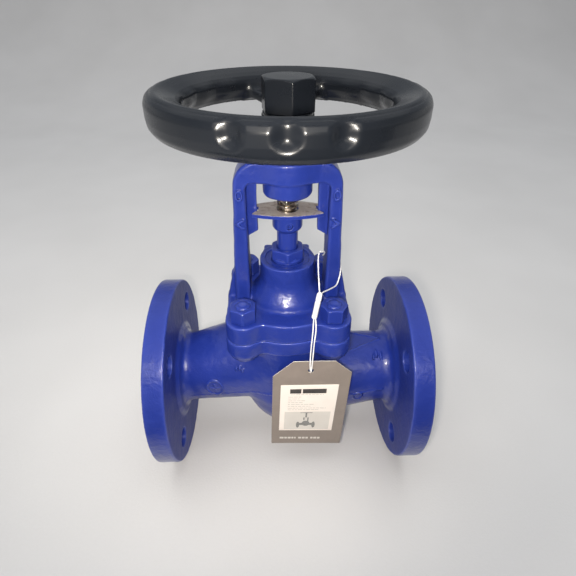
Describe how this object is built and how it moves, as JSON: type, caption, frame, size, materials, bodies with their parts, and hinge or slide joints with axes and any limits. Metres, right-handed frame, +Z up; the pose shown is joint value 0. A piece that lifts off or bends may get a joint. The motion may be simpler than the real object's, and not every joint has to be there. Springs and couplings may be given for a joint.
{
  "type": "flanged globe stop valve",
  "caption": "Flanged globe stop valve with a bolted bonnet and yoke, rising spindle with bellows seal, round handwheel and a hang tag.",
  "frame": {"origin": "on the ground under the spindle, where the rims of the end flanges stand, midway between the two end flanges; the pipe centreline is 82.5 mm above it", "axes": "+X along the pipe towards the inlet flange, +Z up the spindle, -Y towards the side that carries the hang tag"},
  "size_m": [0.23, 0.1795, 0.3312],
  "materials": {
    "blue_paint": "semi-gloss blue enamel over a rough casting",
    "black_enamel": "glossy black enamel",
    "steel": "turned and bright",
    "plate_steel": "bare cut steel, dull",
    "thread_steel": "oiled spindle thread",
    "brass": "machined bronze",
    "graphite": "pressed graphite packing",
    "tag_card": "coated card, taupe",
    "tag_label": "matt label",
    "white_plastic": "white plastic",
    "white_string": "twisted white string"
  },
  "bodies": {
    "valve": {"body": "blue_paint", "seat_ring": "steel", "bonnet_gasket": "graphite", "bonnet": "blue_paint", "bonnet_studs": "blue_paint", "bonnet_nuts": "blue_paint", "bellows": "steel", "bellows_top_ring": "steel", "packing_base_ring": "steel", "packing_rings": "graphite", "gland_follower": "steel", "gland_nut": "blue_paint", "thrust_washers": "steel", "bearing_retainer": "blue_paint", "tag_loop": "white_string", "cord_lock": "white_plastic"},
    "wheel": {"stem_nut": "brass", "handwheel": "black_enamel", "wheel_key": "steel", "wheel_washer": "steel", "cap_nut": "black_enamel"},
    "spindle": {"stem": "thread_steel", "disc": "steel", "disc_retainer": "steel", "bellows_end_cap": "steel", "guide_collar": "blue_paint", "roll_pin": "steel", "indicator_plate": "plate_steel"},
    "tag": {"tag_card": "tag_card", "tag_label": "tag_label", "tag_cord": "white_string"}
  },
  "joints": [
    {"name": "handwheel_turn", "type": "hinge", "parent": "valve", "child": "wheel", "pos_m": [0, 0, 0.2825], "axis": [0, 0, 1], "range_deg": [-900, 360]},
    {"name": "stem_lift", "type": "slide", "parent": "valve", "child": "spindle", "axis": [0, 0, 1], "range_m": [-0.01, 0.004], "deforming": ["bellows"]},
    {"name": "tag_swing", "type": "hinge", "parent": "valve", "child": "tag", "pos_m": [0.015, -0.05, 0.1657], "axis": [-1, 0, 0], "range_deg": [0, 30]}
  ],
  "couplings": [
    {"joint": "stem_lift", "follows": "handwheel_turn", "m_per_rad": 0.0006366}
  ]
}
